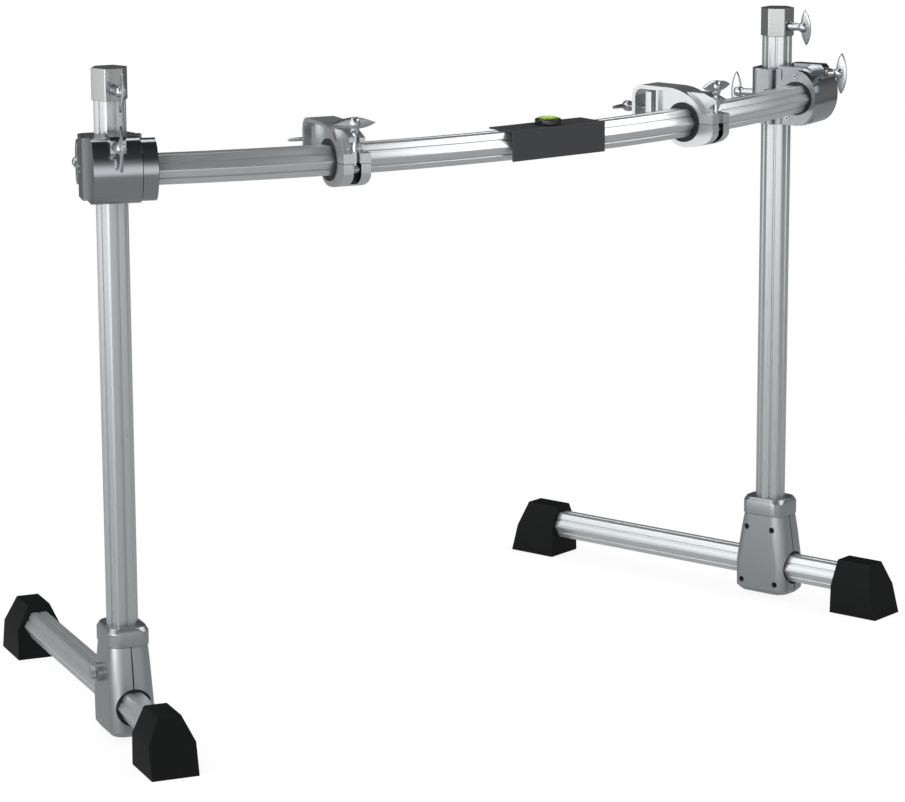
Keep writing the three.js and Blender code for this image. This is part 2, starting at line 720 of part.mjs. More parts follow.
function clampJaw() {
  const points = [
    [-grip.lugFront, -seat],
    ...arcPoints(
      0, -grip.jawFront, grip.lugFront, grip.jawBottom - grip.jawFront, degrees(180), degrees(270), 8,
    ),
    ...arcPoints(0, -seat, grip.ring, grip.jawBottom - seat, degrees(270), degrees(360), 8).slice(1),
  ];
  let jaw = alongX(outline(points), -grip.halfWidth, grip.halfWidth);
  jaw = jaw.add(gripKnuckle(-grip.knuckleHalf, grip.knuckleHalf, 0));
  jaw = jaw.subtract(gripKnuckle(-grip.halfWidth - overrun, -grip.knuckleHalf, joint.knuckleGap));
  jaw = jaw.subtract(gripKnuckle(grip.knuckleHalf, grip.halfWidth + overrun, joint.knuckleGap));
  jaw = jaw.subtract(gripBore()).subtract(gripPinHole());
  const slotHalf = grip.eyeHalf + joint.knuckleGap;
  const slotRear = grip.boltY + grip.pivotRadius + joint.knuckleGap;
  const slot = boxPoints(-slotHalf, slotHalf, -grip.lugFront - overrun, slotRear);
  jaw = jaw.subtract(alongZ(outline(slot), -grip.jawBottom, overrun));
  const trunnionHole = rod(
    [-grip.trunnionHalf - seat, grip.boltY, grip.pivotZ], [grip.trunnionHalf + seat, grip.boltY, grip.pivotZ],
    grip.trunnion + pin.fit,
  );
  return jaw.subtract(trunnionHole);
}

function clampPin() {
  return rod([-grip.halfWidth, grip.hingeY, 0], [grip.halfWidth, grip.hingeY, 0], pin.radius);
}

function swingBolt() {
  const crossRod = (half, radius) => rod(
    [-half, grip.boltY, grip.pivotZ], [half, grip.boltY, grip.pivotZ], radius,
  );
  const eye = crossRod(grip.eyeHalf, grip.pivotRadius);
  const trunnion = crossRod(grip.trunnionHalf, grip.trunnion);
  const shank = rod([0, grip.boltY, grip.pivotZ], [0, grip.boltY, grip.boltTop], grip.boltRadius);
  return eye.add(trunnion).add(shank);
}

function wingNut() {
  const ball = new THREE.SphereGeometry(grip.nutBall, 14, 8);
  let nut = toSolid(ball);
  nut = nut.add(rod([0, 0, 0], [0, 0, grip.nutAxial], wing.hub, wing.hub * flatShare));
  nut = nut.add(wingBlade(grip.nutAxial, wing.span));
  nut = nut.subtract(rod([0, 0, -grip.nutBall * 2], [0, 0, grip.nutAxial * 2], grip.boltRadius + seat));
  return nut.translate([0, grip.boltY, nutCentreZ]);
}

function clampShoe() {
  const profile = [
    [-shoe.halfWidth, shoe.front - shoe.pad], [-shoe.pad * 2, shoe.front], [shoe.pad * 2, shoe.front],
    [shoe.halfWidth, shoe.front - shoe.pad], [shoe.halfWidth, shoe.front + shoe.thick],
    [-shoe.halfWidth, shoe.front + shoe.thick],
  ];
  return alongZ(outline(profile), shoe.low, shoe.high);
}

function shoeWingBolt() {
  const start = shoe.front + shoe.thick + seat;
  const wallOut = grip.rearReach - start;
  const solid = wingScrew(wallOut + screw.backOff * 3, 0, shoeWingAt - start - wallOut - screw.backOff * 3);
  return aimed(solid, direction.y, direction.x, [0, start, grip.screwZ]);
}

function clampLiner() {
  const hole = hexPoints(tube.reach + running * 2, tube.round, cornersLevel);
  const shape = outline(circlePoints(liner.radius, 36), [hole]);
  return alongX(shape, -grip.linerHalf, grip.linerHalf);
}

// Scene graph
const frame = new THREE.Group();

function addMesh(parent, name, geometry, material) {
  const mesh = new THREE.Mesh(geometry, material);
  mesh.name = name;
  parent.add(mesh);
}

function addSet(parent, prefix, rows, flip) {
  for (const [name, solid, material] of rows) {
    const geometry = fromSolid(solid);
    addMesh(parent, `${prefix}_${name}`, flip ? mirrored(geometry) : geometry, material);
  }
}

const legParts = [
  ['upright', upright(), anodised],
  ['top_cap', topCap(), castSatin],
  ['cap_wing_bolt', capWingBolt(), castBright],
  ['base_outer_shell', baseShell(-1), castSatin],
  ['base_inner_shell', baseShell(1), castSatin],
  ['base_collar', baseCollar(), castSatin],
  ['base_lock_bolt', baseLockBolt(), steel],
  ['foot_bar', footBar(), anodised],
  ['front_foot', rubberFoot(-1, frontReach), rubber],
  ['rear_foot', rubberFoot(1, rearReach), rubber],
];

const jointParts = [
  ['joint_body', jointBody(), castBright],
  ['bar_jaw', barJaw(), castBright],
  ['bar_jaw_pin', barJawPin(), steel],
  ['bar_wing_bolt', barWingBolt(), castBright],
  ['bar_liner', barLiner(), nylon],
  ['bar_collar', barCollar(), castBright],
  ['upright_jaw', uprightJaw(), castBright],
  ['upright_jaw_pin', uprightJawPin(), steel],
  ['upright_wing_bolt', uprightWingBolt(), castBright],
  ['upright_liner', uprightLiner(), nylon],
];

const clampParts = [
  ['clamp_arm', clampArm(), castBright],
  ['clamp_jaw', clampJaw(), castBright],
  ['clamp_pin', clampPin(), steel],
  ['swing_bolt', swingBolt(), steel],
  ['wing_nut', wingNut(), castBright],
  ['clamp_shoe', clampShoe(), castSatin],
  ['shoe_wing_bolt', shoeWingBolt(), castBright],
  ['clamp_liner', clampLiner(), nylon],
];

for (const [side, name] of [[-1, 'left'], [1, 'right']]) {
  const leg = new THREE.Group();
  leg.position.set(side * halfSpan, 0, 0);
  leg.rotation.z = side * splayAngle;
  frame.add(leg);
  addSet(leg, name, legParts, side > 0);

  const head = new THREE.Group();
  head.position.set(side * halfSpan, 0, barHeight);
  head.rotation.z = side * endAngle;
  frame.add(head);
  addSet(head, name, jointParts, side > 0);

  const carrier = new THREE.Group();
  carrier.position.set(0, arcCentreY, barHeight);
  carrier.rotation.z = clampAngles[name];
  const onBar = new THREE.Group();
  onBar.position.set(0, -barBendRadius, 0);
  carrier.add(onBar);
  frame.add(carrier);
  addSet(onBar, name, clampParts, false);
}

const bar = new THREE.Group();
bar.position.set(0, 0, barHeight);
addMesh(bar, 'crossbar', fromSolid(crossbar()), anodised);
const middle = new THREE.Group();
middle.position.set(0, arcCentreY - barBendRadius, 0);
addSet(middle, 'badge', [['bracket', badgeBracket(), powderBlack]], false);
addSet(middle, 'level', [['ring', levelRing(), powderBlack], ['vial', levelVial(), liquid]], false);
bar.add(middle);
frame.add(bar);

// The origin is on the floor, under the middle of the whole frame
frame.updateMatrixWorld(true);
const extent = new THREE.Box3().setFromObject(frame);
frame.position.y = -(extent.min.y + extent.max.y) / 2;

export default frame;
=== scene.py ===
# %% [markdown]
# This lesson dresses a drum rack frame: two splayed legs, a curved crossbar and the clamps on it.
# Every piece made here sits on that frame, so first of all the frame is loaded.

# %% Load the frame
import json
import math
import bmesh
import bpy
from mathutils import Matrix, Vector


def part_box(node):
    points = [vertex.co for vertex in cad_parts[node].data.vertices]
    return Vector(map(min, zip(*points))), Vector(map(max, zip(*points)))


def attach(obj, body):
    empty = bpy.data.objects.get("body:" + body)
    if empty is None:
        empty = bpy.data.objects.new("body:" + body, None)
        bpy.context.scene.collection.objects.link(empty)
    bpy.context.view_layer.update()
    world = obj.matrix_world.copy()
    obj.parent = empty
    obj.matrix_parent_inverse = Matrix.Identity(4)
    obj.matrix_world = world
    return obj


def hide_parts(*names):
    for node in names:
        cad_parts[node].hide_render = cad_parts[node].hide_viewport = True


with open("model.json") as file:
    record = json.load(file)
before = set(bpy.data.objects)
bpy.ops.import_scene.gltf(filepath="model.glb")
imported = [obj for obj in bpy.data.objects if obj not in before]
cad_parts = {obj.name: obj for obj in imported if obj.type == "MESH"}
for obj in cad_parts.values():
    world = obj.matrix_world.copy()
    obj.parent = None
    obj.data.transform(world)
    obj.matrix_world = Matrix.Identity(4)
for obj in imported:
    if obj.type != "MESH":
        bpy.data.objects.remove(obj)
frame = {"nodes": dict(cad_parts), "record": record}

MM = 0.001
UP = Vector((0, 0, 1))
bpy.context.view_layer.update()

# %% [markdown]
# The photographer stood to the left of the rack and a little above the crossbar, with a long lens.
# A camera that looks down a little gives the same framing. It is turned in three steps: down from
# the horizon, round to the right, and a touch about its own axis.

# %% Camera
IMAGE_WIDTH_PX = 905
FOCAL_PX = 3595.1
SENSOR_MM = 36.0
CAMERA_AT = (-2.6538, -3.6085, 1.2902)
TURNED_RIGHT = math.radians(36.958)
LOOKS_DOWN = math.radians(12.276)
ROLLED = math.radians(-0.235)
camera_data = bpy.data.cameras.new("photo_camera")
camera_data.sensor_width = SENSOR_MM
camera_data.lens = SENSOR_MM * FOCAL_PX / IMAGE_WIDTH_PX
camera_data.clip_start = 0.1
camera_data.clip_end = 100
camera = bpy.data.objects.new("photo_camera", camera_data)
bpy.context.scene.collection.objects.link(camera)
down = Matrix.Rotation(math.pi / 2 - LOOKS_DOWN, 4, "X")
turn = Matrix.Rotation(-TURNED_RIGHT, 4, "Z") @ down @ Matrix.Rotation(ROLLED, 4, "Z")
camera.matrix_world = Matrix.Translation(CAMERA_AT) @ turn
bpy.context.scene.camera = camera
print("lens", round(camera_data.lens, 1), "mm")

# %% [markdown]
# Product photographs of metal are made in a white tent with soft lamps, and the colours should
# render as written, so the view transform is the plain one. The world, the floor and the finishes
# are all small trees of nodes. Six short functions keep them readable: they link two nodes, make a
# colour ramp, do a sum, turn a value into a tone of grey, make a white glow and mix two shaders.

# %% Helpers for node trees
bpy.context.scene.view_settings.view_transform = "Standard"
WHITE = (1, 1, 1, 1)


def link(tree, from_node, from_socket, to_node, to_socket):
    tree.links.new(from_node.outputs[from_socket], to_node.inputs[to_socket])


def ramp(tree, stops):
    node = tree.nodes.new("ShaderNodeValToRGB")
    while len(node.color_ramp.elements) < len(stops):
        node.color_ramp.elements.new(0.5)
    for element, (position, color) in zip(node.color_ramp.elements, stops):
        element.position = position
        element.color = (*color, 1.0)
    return node


def number(tree, operation, first, second):
    node = tree.nodes.new("ShaderNodeMath")
    node.operation = operation
    for socket, value in zip(node.inputs, (first, second)):
        if isinstance(value, (int, float)):
            socket.default_value = value
        else:
            tree.links.new(value, socket)
    return node.outputs[0]


def grey_ramp(tree, value, stops, low=-1.0, high=1.0):
    spread = tree.nodes.new("ShaderNodeMapRange")
    spread.inputs["From Min"].default_value = low
    spread.inputs["From Max"].default_value = high
    tree.links.new(value, spread.inputs["Value"])
    top = max(grey for _, grey in stops)
    bands = ramp(tree, [((at - low) / (high - low), (grey / top,) * 3) for at, grey in stops])
    tree.links.new(spread.outputs["Result"], bands.inputs["Fac"])
    return number(tree, "MULTIPLY", bands.outputs["Color"], top)


def glow(tree, kind, strength=1.0):
    node = tree.nodes.new(kind)
    node.inputs["Color"].default_value = WHITE
    node.inputs["Strength"].default_value = strength
    return node


def blend(tree, share, first, second):
    node = tree.nodes.new("ShaderNodeMixShader")
    tree.links.new(share, node.inputs["Fac"])
    tree.links.new(first.outputs[0], node.inputs[1])
    tree.links.new(second.outputs[0], node.inputs[2])
    return node


print("view", bpy.context.scene.view_settings.view_transform)

# %% [markdown]
# The camera sees plain white behind the rack. Metal needs something dark to mirror too, or it
# looks like plastic, and a real studio puts black cards around the tent. A ring of cards could be
# modelled, but a tone that follows the direction does the same with less: a bright band at the
# horizon, dark above, brighter on the left, where the big lamp stands, and darker at the rear.

# %% World
TENT_STRENGTH = 0.72
LEFTWARD = (-0.985, -0.17)
# direction, from -1 to 1, and tone
MIRRORED_BY_HEIGHT = [
    (-1, 0.5), (-0.3, 0.6), (-0.12, 1.5), (0.06, 1.4), (0.26, 0.4), (0.45, 0.08), (1, 0.05),
]
MIRRORED_BY_SIDE = [(-1, 0.16), (-0.5, 0.3), (0.0, 0.62), (0.5, 1.0), (0.9, 1.9)]
MIRRORED_BY_DEPTH = [(-1, 1), (0.25, 1), (0.7, 0.3), (1, 0.3)]


def make_world():
    world = bpy.data.worlds.new("white_tent")
    bpy.context.scene.world = world
    world.use_nodes = True
    tree = world.node_tree
    tree.nodes.clear()
    out = tree.nodes.new("ShaderNodeOutputWorld")
    plain = glow(tree, "ShaderNodeBackground", TENT_STRENGTH)
    seen = glow(tree, "ShaderNodeBackground")
    mirrored = glow(tree, "ShaderNodeBackground")
    coords = tree.nodes.new("ShaderNodeTexCoord")
    split = tree.nodes.new("ShaderNodeSeparateXYZ")
    link(tree, coords, "Generated", split, "Vector")
    x, y, z = split.outputs
    height = grey_ramp(tree, z, MIRRORED_BY_HEIGHT)
    leftward = [number(tree, "MULTIPLY", axis, share) for axis, share in zip((x, y), LEFTWARD)]
    side = grey_ramp(tree, number(tree, "ADD", *leftward), MIRRORED_BY_SIDE)
    rear = grey_ramp(tree, y, MIRRORED_BY_DEPTH)
    tone = number(tree, "MULTIPLY", number(tree, "MULTIPLY", height, side), rear)
    tree.links.new(tone, mirrored.inputs["Strength"])
    path = tree.nodes.new("ShaderNodeLightPath")
    around = blend(tree, path.outputs["Is Glossy Ray"], plain, mirrored)
    whole = blend(tree, path.outputs["Is Camera Ray"], around, seen)
    tree.links.new(whole.outputs[0], out.inputs["Surface"])


make_world()
print("world", bpy.context.scene.world.name)

# %% [markdown]
# The floor is a white disc. Near the rack a tenth of what the camera sees is a matt white that
# takes the soft shadow of the feet, and farther out it fades into the white behind, so that no
# horizon shows. In the mirrors of the tubes the floor is a quiet grey.

# %% Floor
FLOOR_RADIUS = 3.2
# distance from the middle and share of plain white
FLOOR_FADE = [(0, 0.9), (1.0, 0.9), (2.6, 1.0), (FLOOR_RADIUS, 1.0)]
MATT_WHITE = (0.9, 0.9, 0.9, 1)
FLOOR_MIRRORED = 0.42


def make_floor():
    bpy.ops.object.select_all(action="DESELECT")
    bpy.ops.mesh.primitive_circle_add(vertices=96, radius=FLOOR_RADIUS, fill_type="NGON")
    floor = bpy.context.object
    floor.name = "floor"
    material = bpy.data.materials.new("white_floor")
    material.use_nodes = True
    tree = material.node_tree
    tree.nodes.clear()
    out = tree.nodes.new("ShaderNodeOutputMaterial")
    matt = tree.nodes.new("ShaderNodeBsdfDiffuse")
    matt.inputs["Color"].default_value = MATT_WHITE
    seen = glow(tree, "ShaderNodeEmission")
    mirrored = glow(tree, "ShaderNodeEmission", FLOOR_MIRRORED)
    coords = tree.nodes.new("ShaderNodeTexCoord")
    far = tree.nodes.new("ShaderNodeVectorMath")
    far.operation = "LENGTH"
    link(tree, coords, "Object", far, "Vector")
    path = tree.nodes.new("ShaderNodeLightPath")
    fade = grey_ramp(tree, far.outputs["Value"], FLOOR_FADE, 0, FLOOR_RADIUS)
    share = number(tree, "MULTIPLY", fade, path.outputs["Is Camera Ray"])
    ground = blend(tree, share, matt, seen)
    whole = blend(tree, path.outputs["Is Glossy Ray"], ground, mirrored)
    tree.links.new(whole.outputs[0], out.inputs["Surface"])
    floor.data.materials.append(material)


make_floor()
print("floor radius", FLOOR_RADIUS, "m")

# %% [markdown]
# Four soft boxes light the rack: a tall one on the left that whitens the left sides, a wide one
# high on the right front for the tops of the tubes, and two weaker ones behind, which draw the
# rims and keep the rear from going flat.

# %% Lamps
def soft_lamp(name, spot, aim, size, watts):
    data = bpy.data.lights.new(name, "AREA")
    data.shape = "RECTANGLE"
    data.size, data.size_y = size
    data.energy = watts
    lamp = bpy.data.objects.new(name, data)
    bpy.context.scene.collection.objects.link(lamp)
    lamp.location = spot
    lamp.rotation_mode = "QUATERNION"
    lamp.rotation_quaternion = (Vector(aim) - Vector(spot)).to_track_quat("-Z", "Y")


# name, place, aim, width and height, watts
soft_lamp("left_softbox", (-3.4, -0.9, 1.5), (0, 0, 0.5), (1.4, 2.2), 44)
soft_lamp("right_softbox", (2.0, -1.7, 2.65), (0.1, 0, 0.7), (3.2, 1.7), 48)
soft_lamp("rear_softbox", (-2.0, 1.0, 2.5), (0.2, 0, 0.1), (2.4, 1.7), 26)
soft_lamp("top_softbox", (-0.2, 1.0, 3.2), (0, 0, 0.3), (2.4, 1.0), 14)

# %% [markdown]
# The finishes come next. Extruded and cast aluminium differ mostly in how rough they are, and in
# the fine marks on them. Each finish is a small tree of nodes: noise on Object coordinates drives
# the colour, the roughness and a faint bump. Drawn tubes get their noise stretched along them.

# %% Finishes
NOISE_LOW, NOISE_HIGH = 0.3, 0.7
NOISE_DETAIL = 3.0
RELIEF_DEPTH = 0.5 * MM
MARKS_UP = (1, 1, 0.02)
MARKS_ALONG = (0.02, 0.02, 1)


def finish(
    name, color, roughness, metallic, grain, stretch=(1, 1, 1),
    spread=0.02, tone=0.03, bump=0.006, gloss=0.5,
):
    material = bpy.data.materials.new(name)
    material.use_nodes = True
    tree = material.node_tree
    shader = tree.nodes["Principled BSDF"]
    shader.inputs["Metallic"].default_value = metallic
    shader.inputs["Specular IOR Level"].default_value = gloss
    coords = tree.nodes.new("ShaderNodeTexCoord")
    scale = tree.nodes.new("ShaderNodeMapping")
    scale.inputs["Scale"].default_value = stretch
    noise = tree.nodes.new("ShaderNodeTexNoise")
    noise.inputs["Scale"].default_value = grain
    noise.inputs["Detail"].default_value = NOISE_DETAIL
    link(tree, coords, "Object", scale, "Vector")
    link(tree, scale, "Vector", noise, "Vector")
    darker = tuple(part * (1 - tone) for part in color)
    lighter = tuple(part * (1 + tone) for part in color)
    shade = ramp(tree, [(NOISE_LOW, darker), (NOISE_HIGH, lighter)])
    link(tree, noise, "Fac", shade, "Fac")
    link(tree, shade, "Color", shader, "Base Color")
    rough = tree.nodes.new("ShaderNodeMapRange")
    rough.inputs["From Min"].default_value = NOISE_LOW
    rough.inputs["From Max"].default_value = NOISE_HIGH
    rough.inputs["To Min"].default_value = roughness - spread
    rough.inputs["To Max"].default_value = roughness + spread
    link(tree, noise, "Fac", rough, "Value")
    link(tree, rough, "Result", shader, "Roughness")
    relief = tree.nodes.new("ShaderNodeBump")
    relief.inputs["Strength"].default_value = bump
    relief.inputs["Distance"].default_value = RELIEF_DEPTH
    link(tree, noise, "Fac", relief, "Height")
    link(tree, relief, "Normal", shader, "Normal")
    return material


def anodised(name, color, roughness, metallic, stretch):
    return finish(name, color, roughness, metallic, 900, stretch, tone=0.015, bump=0.004)


# name, colour, roughness, share of metal, direction of the marks
anodised_upright = anodised("anodised_upright", (0.5, 0.522, 0.532), 0.29, 0.8, MARKS_UP)
anodised_level = anodised("anodised_level", (0.57, 0.595, 0.61), 0.3, 0.8, MARKS_ALONG)
anodised_foot = anodised("anodised_foot", (0.6, 0.63, 0.645), 0.32, 0.75, MARKS_ALONG)
# name, colour, roughness, share of metal, fineness of the noise
cast_clamp = finish("cast_clamp", (0.62, 0.645, 0.66), 0.3, 0.92, 900)
cast_satin = finish("cast_satin", (0.37, 0.39, 0.4), 0.34, 0.9, 900)
cast_cap = finish("cast_cap", (0.34, 0.36, 0.355), 0.28, 0.95, 900)
cast_body = finish("cast_body", (0.265, 0.28, 0.295), 0.3, 0.95, 900)
cast_joint = finish("cast_joint", (0.36, 0.38, 0.4), 0.17, 1.0, 900, spread=0.03, tone=0.02)
cast_bright = finish("cast_bright", (0.44, 0.46, 0.475), 0.26, 0.95, 900, spread=0.03)
plated_steel = finish("plated_steel", (0.48, 0.505, 0.52), 0.24, 1.0, 600)
# this finish is the real black steel of the base screw heads, and also painted shade in the jaw
# slots and in the sockets of the ring screws
dark_steel_and_shade = finish("dark_steel_and_shade", (0.05, 0.05, 0.055), 0.4, 1.0, 600)
# this finish is the real black nylon of liners, bushes and rims, and also painted shade in the
# sockets of the base screws
black_nylon_and_shade = finish("black_nylon_and_shade", (0.012, 0.012, 0.014), 0.42, 0.0, 700, gloss=0.35)
black_rubber = finish(
    "black_rubber", (0.005, 0.0055, 0.006), 0.55, 0.0, 900, bump=0.35, gloss=0.13,
)
black_powder = finish("black_powder", (0.03, 0.031, 0.034), 0.5, 0.0, 1600, tone=0.25, bump=0.35)
black_gloss = finish("black_gloss", (0.01, 0.01, 0.011), 0.16, 0.0, 600, bump=0.01)
green_liquid = finish("green_liquid", (0.36, 0.6, 0.05), 0.1, 0.0, 60, tone=0.1)
print("finishes", len(bpy.data.materials))

# %% [markdown]
# The spirit level is green liquid under a clear dome. The liquid is pale where the bubble sits and
# dark at the rim, where one looks through more of it. Glass over a tinted bowl would need many
# more samples, so the green simply darkens with the distance from the centre of the vial.

# %% Tint of the spirit level
VIAL_RADIUS = 12.5 * MM
VIAL_TINTS = [
    (0, (0.62, 0.78, 0.4)), (0.5, (0.5, 0.72, 0.2)),
    (0.8, (0.3, 0.52, 0.04)), (1, (0.04, 0.09, 0.01)),
]


def tint_vial():
    tree = green_liquid.node_tree
    shader = tree.nodes["Principled BSDF"]
    low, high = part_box("level_vial")
    coords = tree.nodes.new("ShaderNodeTexCoord")
    centre = tree.nodes.new("ShaderNodeMapping")
    middle = ((low[0] + high[0]) / 2, (low[1] + high[1]) / 2)
    centre.inputs["Location"].default_value = (-middle[0], -middle[1], 0)
    centre.inputs["Scale"].default_value = (1, 1, 0)
    away = tree.nodes.new("ShaderNodeVectorMath")
    away.operation = "LENGTH"
    spread = tree.nodes.new("ShaderNodeMapRange")
    spread.inputs["From Max"].default_value = VIAL_RADIUS
    shade = ramp(tree, VIAL_TINTS)
    link(tree, coords, "Object", centre, "Vector")
    link(tree, centre, "Vector", away, 0)
    link(tree, away, "Value", spread, "Value")
    link(tree, spread, "Result", shade, "Fac")
    link(tree, shade, "Color", shader, "Base Color")


tint_vial()
print("vial radius", VIAL_RADIUS, "m")

# %% [markdown]
# Every node of the frame gets its finish by its name: the first entry of the list that is part of
# the name counts. Later cells put finer pieces in place of most nodes, and those pieces take the
# same finishes. The record of the frame also tells each node's body and the joints.

# %% Dress the frame
FINISH_OF = [
    ("foot_bar", anodised_foot), ("crossbar", anodised_level), ("upright_jaw_pin", plated_steel),
    ("upright_jaw", cast_body), ("joint_body", cast_body), ("bar_jaw_pin", plated_steel),
    ("bar_jaw", cast_joint), ("bar_collar", cast_body), ("upright_wing", cast_bright),
    ("upright_liner", black_nylon_and_shade), ("upright", anodised_upright), ("liner", black_nylon_and_shade),
    ("pin", plated_steel), ("base_lock", plated_steel), ("base", cast_satin),
    ("cap_wing", cast_bright), ("top_cap", cast_cap), ("foot", black_rubber),
    ("swing_bolt", plated_steel), ("badge", black_powder), ("clamp_arm", cast_clamp),
    ("clamp_jaw", cast_clamp), ("clamp_shoe", cast_clamp), ("level_ring", black_gloss),
    ("level_vial", green_liquid),
]


def finish_for(name):
    for part, material in FINISH_OF:
        if part in name:
            return material
    return cast_bright


for name, node in frame["nodes"].items():
    for slot in node.material_slots:
        slot.material = finish_for(name)
BODY_OF = {}
for body, members in frame["record"]["behaviour"]["bodies"].items():
    for member in members:
        BODY_OF[member] = body
JOINTS = {row["name"]: row for row in frame["record"]["behaviour"]["joints"]}
print("dressed", len(frame["nodes"]), "nodes")

# %% [markdown]
# A few helpers keep the modelling cells short. An operator works on what is selected, so one
# helper selects a single object, another opens it for editing, and a third selects the corners,
# edges or faces that pass a test. Each finished piece takes the finish of the node it stands for
# and rides on that node's body, and the node is hidden.

# %% Helpers for modelling
def pick(piece):
    bpy.ops.object.select_all(action="DESELECT")
    piece.select_set(True)
    bpy.context.view_layer.objects.active = piece


def open_for_edit(piece, mode="VERT"):
    pick(piece)
    bpy.ops.object.mode_set(mode="EDIT")
    bpy.ops.mesh.select_mode(type=mode)


def close_edit():
    bpy.ops.object.mode_set(mode="OBJECT")


def choose(piece, kind, test):
    shape = bmesh.from_edit_mesh(piece.data)
    bpy.ops.mesh.select_all(action="DESELECT")
    items = {"VERT": shape.verts, "EDGE": shape.edges, "FACE": shape.faces}[kind]
    for item in items:
        if test(item):
            item.select_set(True)
    bmesh.update_edit_mesh(piece.data)


def place(piece, matrix):
    pick(piece)
    piece.matrix_world = matrix @ piece.matrix_world
    bpy.context.view_layer.update()
    bpy.ops.object.transform_apply(location=True, rotation=True, scale=True)


def hand_over(piece, node):
    piece.data.materials.clear()
    piece.data.materials.append(finish_for(node))
    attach(piece, BODY_OF[node])
    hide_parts(node)


def smooth(piece, degrees=30):
    pick(piece)
    bpy.ops.object.shade_smooth_by_angle(angle=math.radians(degrees))


print("helpers ready")

# %% [markdown]
# The tubes are one extrusion: a hexagon with rounded corners and a fine groove down the middle of
# each side, so that clamps can't turn. It could be a subtraction of six bars from a hexagon, but
# shaping the flat section first is lighter: a circle of six points gets its corners bevelled and
# its sides cut, and the middle of each side is pushed in.

# %% Section of the tube
TUBE_FLAT = 17.155 * MM
TUBE_CORNER = 19.81 * MM
CORNER_ROUND = 1.155 * MM
SIDE_AT_LEAST = 8 * MM
GROOVE_DEPTH = 1.5 * MM
GROOVE_HALF = 1.0 * MM
TOLERANCE = 0.05 * MM
TUBE_SMOOTH = 24


def tube_section(name):
    bpy.ops.object.select_all(action="DESELECT")
    flat_front = (0, 0, math.radians(30))
    bpy.ops.mesh.primitive_circle_add(vertices=6, radius=TUBE_CORNER, rotation=flat_front)
    section = bpy.context.object
    section.name = name
    bpy.ops.object.transform_apply(location=True, rotation=True, scale=True)
    open_for_edit(section)
    bpy.ops.mesh.select_all(action="SELECT")
    bpy.ops.mesh.bevel(offset=CORNER_ROUND, segments=3, affect="VERTICES")
    choose(section, "EDGE", lambda edge: edge.calc_length() > SIDE_AT_LEAST)
    bpy.ops.mesh.subdivide(number_cuts=4)
    angles = [math.radians(30 + 60 * k) for k in range(6)]
    side_of = [(math.cos(angle), math.sin(angle)) for angle in angles]

    def near_middle(point, x, y, across):
        on_side = point.x * x + point.y * y > TUBE_FLAT - TOLERANCE
        return on_side and abs(point.y * x - point.x * y) < across

    def middle_edge(edge):
        middle = (edge.verts[0].co + edge.verts[1].co) / 2
        return any(near_middle(middle, x, y, GROOVE_HALF / 2) for x, y in side_of)

    choose(section, "EDGE", middle_edge)
    bpy.ops.mesh.subdivide(number_cuts=3)
    for x, y in side_of:
        choose(section, "VERT", lambda corner: near_middle(corner.co, x, y, GROOVE_HALF))
        bpy.ops.transform.translate(value=(-GROOVE_DEPTH * x, -GROOVE_DEPTH * y, 0))
    close_edit()
    return section


def straight_tube(name, length, matrix):
    tube = tube_section(name)
    open_for_edit(tube)
    bpy.ops.mesh.select_all(action="SELECT")
    bpy.ops.mesh.edge_face_add()
    bpy.ops.mesh.extrude_region_move(TRANSFORM_OT_translate={"value": (0, 0, length)})
    bpy.ops.mesh.select_all(action="SELECT")
    bpy.ops.mesh.normals_make_consistent(inside=False)
    close_edit()
    place(tube, matrix)
    smooth(tube, TUBE_SMOOTH)
    return tube


print("section ready")

# %% [markdown]
# The uprights and the foot bars are straight, so each is the section made solid and drawn out to
# its length, then put where the frame has it. The legs turn 14 degrees outwards about the
# uprights.

# %% Uprights and foot bars
HALF_SPAN = 511 * MM
SPLAY = math.radians(14)
LEG_Y = -112.069 * MM
FOOT_BAR_Z = 43 * MM
FOOT_BAR_CLEAR = 0.3 * MM
UPRIGHT_START = FOOT_BAR_Z + TUBE_FLAT + FOOT_BAR_CLEAR
UPRIGHT_TOP = 788.7 * MM
# where the feet begin in front of the upright and behind it, in millimetres, and how far the bar
# goes into each
FOOT_IN_FRONT = 116
FOOT_BEHIND = 347
INTO_FOOT = 49.7
FRONT_REACH = (FOOT_IN_FRONT + INTO_FOOT) * MM
FOOT_BAR_LENGTH = (FOOT_IN_FRONT + FOOT_BEHIND + 2 * INTO_FOOT) * MM


def frames_at_uprights(angle, height):
    return {
        side: Matrix.Translation((sense * HALF_SPAN, LEG_Y, height))
        @ Matrix.Rotation(sense * angle, 4, "Z")
        for side, sense in (("left", -1), ("right", 1))
    }


leg_frame = frames_at_uprights(SPLAY, 0)
lying = Matrix.Rotation(-math.pi / 2, 4, "X")
for side, leg in leg_frame.items():
    standing = leg @ Matrix.Translation((0, 0, UPRIGHT_START))
    upright = straight_tube(side + "_upright_tube", UPRIGHT_TOP - UPRIGHT_START, standing)
    hand_over(upright, side + "_upright")
    start = Matrix.Translation((0, -FRONT_REACH, FOOT_BAR_Z))
    bar = straight_tube(side + "_foot_tube", FOOT_BAR_LENGTH, leg @ start @ lying)
    hand_over(bar, side + "_foot_bar")
    print(side, "tubes", [round(max(tube.dimensions), 3) for tube in (upright, bar)])

# %% [markdown]
# The crossbar is the same tube, bent once. The section is drawn out along the straight end, spun
# about the centre of the bend, and drawn out again, as a pipe bender would do it.

# %% Crossbar
BAR_HEIGHT = 681 * MM
BEND_CENTRE = (0, 974.75 * MM, BAR_HEIGHT)
BEND_RADIUS = 1248 * MM
END_ANGLE = math.radians(22.8904)
STRAIGHT_END = 74.7 * MM
BEND_STEPS = 72
MEETING_POINTS = 0.01 * MM


